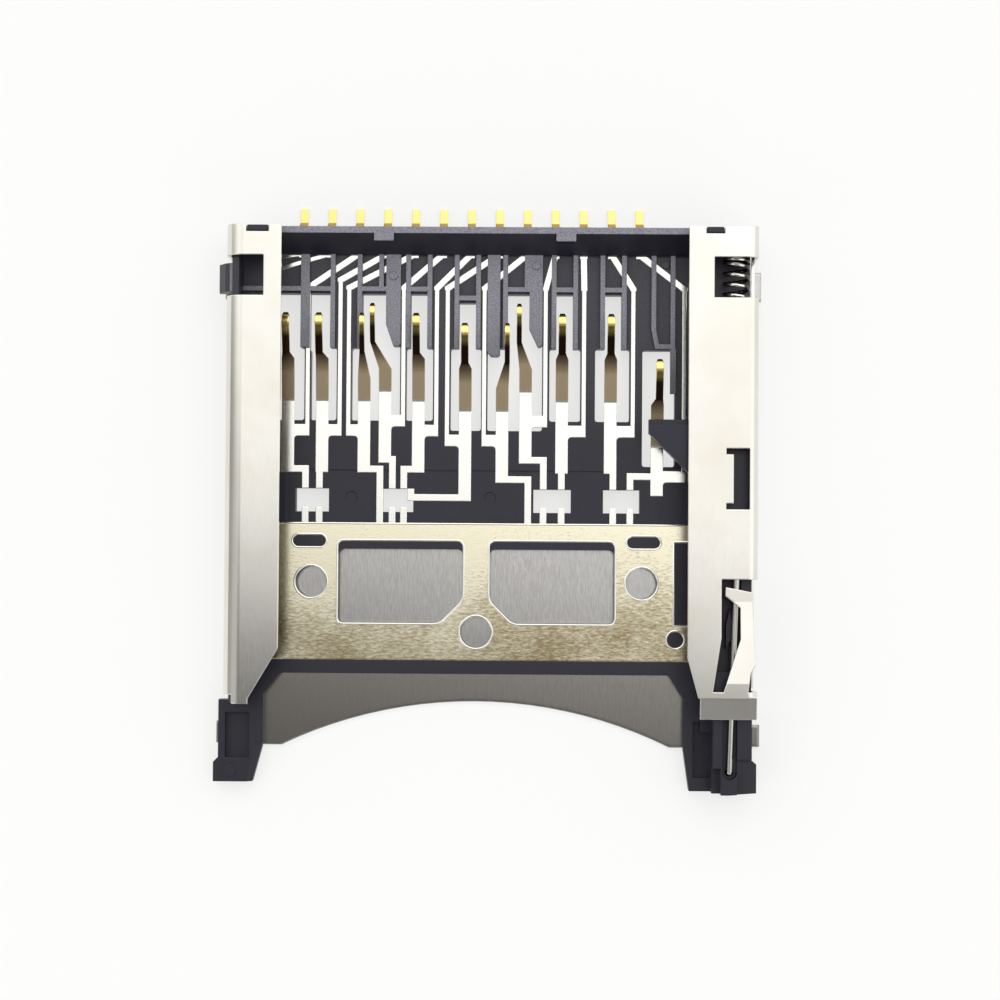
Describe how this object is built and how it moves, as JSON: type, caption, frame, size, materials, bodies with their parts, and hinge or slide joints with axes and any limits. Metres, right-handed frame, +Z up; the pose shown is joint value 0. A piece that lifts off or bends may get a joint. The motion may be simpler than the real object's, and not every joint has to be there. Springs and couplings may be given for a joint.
{
  "type": "sd card socket",
  "caption": "Low open-top board socket for a full-size memory card: moulded base with sprung contacts, folded steel shell with two side rails, and a push-push eject slider.",
  "frame": {"origin": "middle of the footprint, on the board", "axes": "+Z up from the board, +Y the way the card goes in, +X to the right seen from above"},
  "size_m": [0.0282, 0.03, 0.0034],
  "materials": {
    "housing": "fine moulded texture",
    "shell": "rolled stainless, folded and stamped",
    "ground_frame": "tinned and brushed along the width",
    "contacts": "gold plated at the tips",
    "slider": "smooth moulded",
    "spring": "drawn wire",
    "pin": "bright drawn wire"
  },
  "bodies": {
    "socket": {"housing": "housing", "shell": "shell", "ground_frame": "ground_frame", "contact_1": "contacts", "contact_2": "contacts", "detect_contact_a": "contacts", "contact_4": "contacts", "contact_5": "contacts", "detect_contact_b": "contacts", "contact_7": "contacts", "contact_8": "contacts", "contact_9": "contacts", "protect_spring": "contacts", "protect_stop": "contacts", "eject_spring": "spring"},
    "slider": {"eject_slider": "slider"},
    "pin": {"latch_pin": "pin"}
  },
  "joints": [
    {"name": "eject_slide", "type": "slide", "parent": "socket", "child": "slider", "axis": [0, 1, 0], "range_m": [0, 0.006], "stiffness_N_per_m": 300, "deforming": ["eject_spring"]},
    {"name": "latch_swing", "type": "hinge", "parent": "socket", "child": "pin", "pos_m": [0.01228, -0.01383, 0.00275], "axis": [0, 0, 1], "range_deg": [0, 3.8]}
  ]
}
